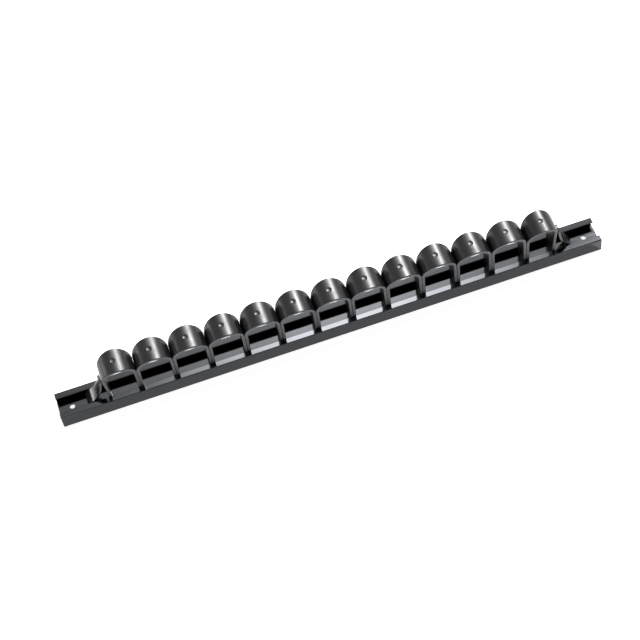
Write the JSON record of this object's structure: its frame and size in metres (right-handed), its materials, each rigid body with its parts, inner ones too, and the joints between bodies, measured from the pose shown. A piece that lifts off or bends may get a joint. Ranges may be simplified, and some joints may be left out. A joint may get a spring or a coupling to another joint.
{
  "type": "wrench rack",
  "caption": "Slim wall rail with a row of springy half-round clips that hold wrench handles between them.",
  "frame": {"origin": "middle of the rail's flat back, at the height of the face that meets the wall or bench", "axes": "+X along the rail, +Y from the front lip to the back lip, +Z out of the wall, towards the crowns of the clips"},
  "size_m": [0.463, 0.0248, 0.051],
  "materials": {
    "rail": "gloss black coated sheet",
    "clip": "polished black moulding",
    "leaf": "polished black moulding"
  },
  "bodies": {
    "rail": {"rail": "rail"},
    "clip_01": {"clip_01": "clip"},
    "clip_02": {"clip_02": "clip"},
    "clip_03": {"clip_03": "clip"},
    "clip_04": {"clip_04": "clip"},
    "clip_05": {"clip_05": "clip"},
    "clip_06": {"clip_06": "clip"},
    "clip_07": {"clip_07": "clip"},
    "clip_08": {"clip_08": "clip"},
    "clip_09": {"clip_09": "clip"},
    "clip_10": {"clip_10": "clip"},
    "clip_11": {"clip_11": "clip"},
    "clip_12": {"clip_12": "clip"},
    "clip_13": {"clip_13": "clip"},
    "end_leaf_left": {"end_leaf_left": "leaf"},
    "end_leaf_right": {"end_leaf_right": "leaf"}
  },
  "joints": [
    {"name": "end_leaf_left_slide", "type": "slide", "parent": "rail", "child": "end_leaf_left", "axis": [-1, 0, 0], "range_m": [0, 0.0076]},
    {"name": "end_leaf_right_slide", "type": "slide", "parent": "rail", "child": "end_leaf_right", "axis": [1, 0, 0], "range_m": [0, 0.0062]},
    {"name": "clip_01_slide", "type": "slide", "parent": "rail", "child": "clip_01", "axis": [-1, 0, 0], "range_m": [0, 0.00659]},
    {"name": "clip_02_slide", "type": "slide", "parent": "rail", "child": "clip_02", "axis": [-1, 0, 0], "range_m": [0, 0.00557]},
    {"name": "clip_03_slide", "type": "slide", "parent": "rail", "child": "clip_03", "axis": [-1, 0, 0], "range_m": [0, 0.00456]},
    {"name": "clip_04_slide", "type": "slide", "parent": "rail", "child": "clip_04", "axis": [-1, 0, 0], "range_m": [0, 0.00355]},
    {"name": "clip_05_slide", "type": "slide", "parent": "rail", "child": "clip_05", "axis": [-1, 0, 0], "range_m": [0, 0.00253]},
    {"name": "clip_06_slide", "type": "slide", "parent": "rail", "child": "clip_06", "axis": [-1, 0, 0], "range_m": [0, 0.00152]},
    {"name": "clip_07_slide", "type": "slide", "parent": "rail", "child": "clip_07", "axis": [-1, 0, 0], "range_m": [0, 0.000508]},
    {"name": "clip_08_slide", "type": "slide", "parent": "rail", "child": "clip_08", "axis": [1, 0, 0], "range_m": [0, 0.000478]},
    {"name": "clip_09_slide", "type": "slide", "parent": "rail", "child": "clip_09", "axis": [1, 0, 0], "range_m": [0, 0.00143]},
    {"name": "clip_10_slide", "type": "slide", "parent": "rail", "child": "clip_10", "axis": [1, 0, 0], "range_m": [0, 0.00239]},
    {"name": "clip_11_slide", "type": "slide", "parent": "rail", "child": "clip_11", "axis": [1, 0, 0], "range_m": [0, 0.00334]},
    {"name": "clip_12_slide", "type": "slide", "parent": "rail", "child": "clip_12", "axis": [1, 0, 0], "range_m": [0, 0.00429]},
    {"name": "clip_13_slide", "type": "slide", "parent": "rail", "child": "clip_13", "axis": [1, 0, 0], "range_m": [0, 0.00525]}
  ],
  "couplings": [
    {"joint": "clip_01_slide", "follows": "end_leaf_left_slide", "ratio": 0.86667},
    {"joint": "clip_02_slide", "follows": "end_leaf_left_slide", "ratio": 0.73333},
    {"joint": "clip_03_slide", "follows": "end_leaf_left_slide", "ratio": 0.6},
    {"joint": "clip_04_slide", "follows": "end_leaf_left_slide", "ratio": 0.46667},
    {"joint": "clip_05_slide", "follows": "end_leaf_left_slide", "ratio": 0.33333},
    {"joint": "clip_06_slide", "follows": "end_leaf_left_slide", "ratio": 0.2},
    {"joint": "clip_07_slide", "follows": "end_leaf_left_slide", "ratio": 0.06667},
    {"joint": "clip_08_slide", "follows": "end_leaf_right_slide", "ratio": 0.07692},
    {"joint": "clip_09_slide", "follows": "end_leaf_right_slide", "ratio": 0.23077},
    {"joint": "clip_10_slide", "follows": "end_leaf_right_slide", "ratio": 0.38462},
    {"joint": "clip_11_slide", "follows": "end_leaf_right_slide", "ratio": 0.53846},
    {"joint": "clip_12_slide", "follows": "end_leaf_right_slide", "ratio": 0.69231},
    {"joint": "clip_13_slide", "follows": "end_leaf_right_slide", "ratio": 0.84615}
  ]
}
